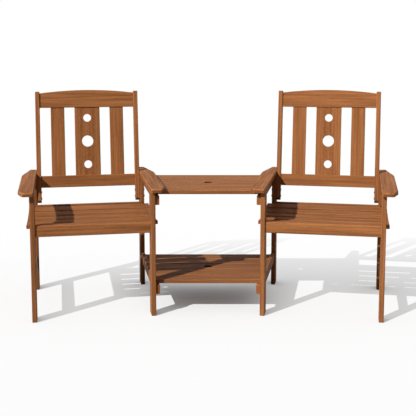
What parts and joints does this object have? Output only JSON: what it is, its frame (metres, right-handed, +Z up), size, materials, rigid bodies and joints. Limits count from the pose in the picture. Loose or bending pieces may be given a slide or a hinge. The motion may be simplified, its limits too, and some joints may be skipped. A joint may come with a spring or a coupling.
{
  "type": "companion seat bench",
  "caption": "Wooden companion bench: slatted armchairs angled inwards, joined by a slatted table and a lower shelf that are both bored for a parasol pole",
  "frame": {"origin": "on the ground, in the middle of the bench's bounding box", "axes": "+X to the right as seen from the front, +Y to the rear, +Z up"},
  "size_m": [1.7806, 0.7566, 0.9715],
  "materials": {
    "stained_hardwood": "satin",
    "bronzed_steel": "satin"
  },
  "bodies": {
    "root": {"backrest_bolts": "bronzed_steel", "backrest_nuts": "bronzed_steel", "left_centre_back_slat": "stained_hardwood", "left_front_apron": "stained_hardwood", "left_front_seat_slat": "stained_hardwood", "left_inner_arm_rail": "stained_hardwood", "left_inner_armrest": "stained_hardwood", "left_inner_back_slat": "stained_hardwood", "left_inner_front_leg": "stained_hardwood", "left_inner_rear_leg": "stained_hardwood", "left_inner_seat_rail": "stained_hardwood", "left_inner_stile": "stained_hardwood", "left_inner_stretcher": "stained_hardwood", "left_lower_rail": "stained_hardwood", "left_outer_arm_rail": "stained_hardwood", "left_outer_armrest": "stained_hardwood", "left_outer_back_slat": "stained_hardwood", "left_outer_front_leg": "stained_hardwood", "left_outer_rear_leg": "stained_hardwood", "left_outer_seat_rail": "stained_hardwood", "left_outer_stile": "stained_hardwood", "left_outer_stretcher": "stained_hardwood", "left_rear_rail": "stained_hardwood", "left_seat_slats": "stained_hardwood", "left_shelf_batten": "stained_hardwood", "left_table_batten": "stained_hardwood", "left_top_rail": "stained_hardwood", "right_centre_back_slat": "stained_hardwood", "right_front_apron": "stained_hardwood", "right_front_seat_slat": "stained_hardwood", "right_inner_arm_rail": "stained_hardwood", "right_inner_armrest": "stained_hardwood", "right_inner_back_slat": "stained_hardwood", "right_inner_front_leg": "stained_hardwood", "right_inner_rear_leg": "stained_hardwood", "right_inner_seat_rail": "stained_hardwood", "right_inner_stile": "stained_hardwood", "right_inner_stretcher": "stained_hardwood", "right_lower_rail": "stained_hardwood", "right_outer_arm_rail": "stained_hardwood", "right_outer_armrest": "stained_hardwood", "right_outer_back_slat": "stained_hardwood", "right_outer_front_leg": "stained_hardwood", "right_outer_rear_leg": "stained_hardwood", "right_outer_seat_rail": "stained_hardwood", "right_outer_stile": "stained_hardwood", "right_outer_stretcher": "stained_hardwood", "right_rear_rail": "stained_hardwood", "right_seat_slats": "stained_hardwood", "right_shelf_batten": "stained_hardwood", "right_table_batten": "stained_hardwood", "right_top_rail": "stained_hardwood", "shelf_boards": "stained_hardwood", "shelf_bored_board": "stained_hardwood", "table_boards": "stained_hardwood", "table_bored_board": "stained_hardwood"}
  },
  "joints": []
}
